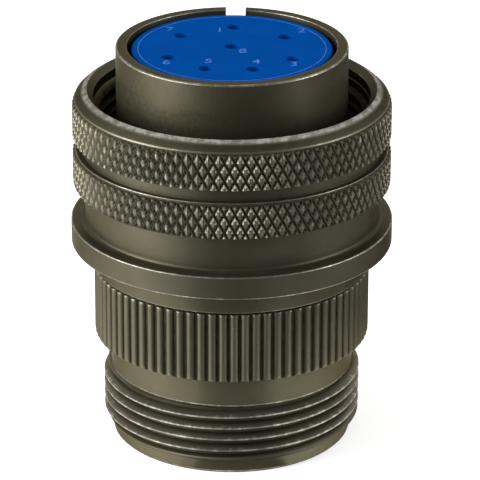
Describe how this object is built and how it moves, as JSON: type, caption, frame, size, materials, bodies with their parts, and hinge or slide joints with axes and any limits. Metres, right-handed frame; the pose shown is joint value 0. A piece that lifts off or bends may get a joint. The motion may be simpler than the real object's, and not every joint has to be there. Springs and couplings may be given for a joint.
{
  "type": "circular connector plug",
  "caption": "Straight round plug with a knurled threaded coupling nut, keyed barrel, blue socket insert, fluted grip and threaded rear end.",
  "frame": {"origin": "centre of the flat rear end face, on the plug's axis", "axes": "+Z along the plug's axis, from the threaded rear end towards the contacts; +Y towards the keyway in the barrel; +X completes the right hand"},
  "size_m": [0.0374, 0.0374, 0.0477],
  "materials": {
    "plated_aluminium": "satin olive plating, worn bright on the edges",
    "plated_aluminium_nut": "satin olive plating, worn bright on the knurl and edges",
    "spring_steel": "plain spring steel",
    "washer_plastic": "natural low-friction plastic",
    "black_rubber": "matte moulded rubber",
    "blue_insert": "hard blue moulding with pale printed numbers",
    "carrier_plastic": "hard blue moulding",
    "grommet_rubber": "matte silicone rubber",
    "contact_plating": "gold plating",
    "hood_steel": "plain stainless steel",
    "clip_alloy": "plain spring copper alloy"
  },
  "bodies": {
    "shell": {"plug_shell": "plated_aluminium", "insert_retaining_ring": "spring_steel", "thrust_washer": "washer_plastic", "barrel_seal": "black_rubber", "front_insert": "blue_insert", "clip_carrier": "carrier_plastic", "wire_grommet": "grommet_rubber", "socket_contact_1": "contact_plating", "socket_contact_2": "contact_plating", "socket_contact_3": "contact_plating", "socket_contact_4": "contact_plating", "socket_contact_5": "contact_plating", "socket_contact_6": "contact_plating", "socket_contact_7": "contact_plating", "socket_contact_8": "contact_plating", "contact_hood_1": "hood_steel", "contact_hood_2": "hood_steel", "contact_hood_3": "hood_steel", "contact_hood_4": "hood_steel", "contact_hood_5": "hood_steel", "contact_hood_6": "hood_steel", "contact_hood_7": "hood_steel", "contact_hood_8": "hood_steel", "retention_clip_1": "clip_alloy", "retention_clip_2": "clip_alloy", "retention_clip_3": "clip_alloy", "retention_clip_4": "clip_alloy", "retention_clip_5": "clip_alloy", "retention_clip_6": "clip_alloy", "retention_clip_7": "clip_alloy", "retention_clip_8": "clip_alloy"},
    "nut": {"coupling_nut": "plated_aluminium_nut", "nut_retaining_ring": "spring_steel"}
  },
  "joints": [
    {"name": "nut_spin", "type": "hinge", "parent": "shell", "child": "nut", "pos_m": [0, 0, 0.028], "axis": [0, 0, 1], "continuous": true}
  ]
}
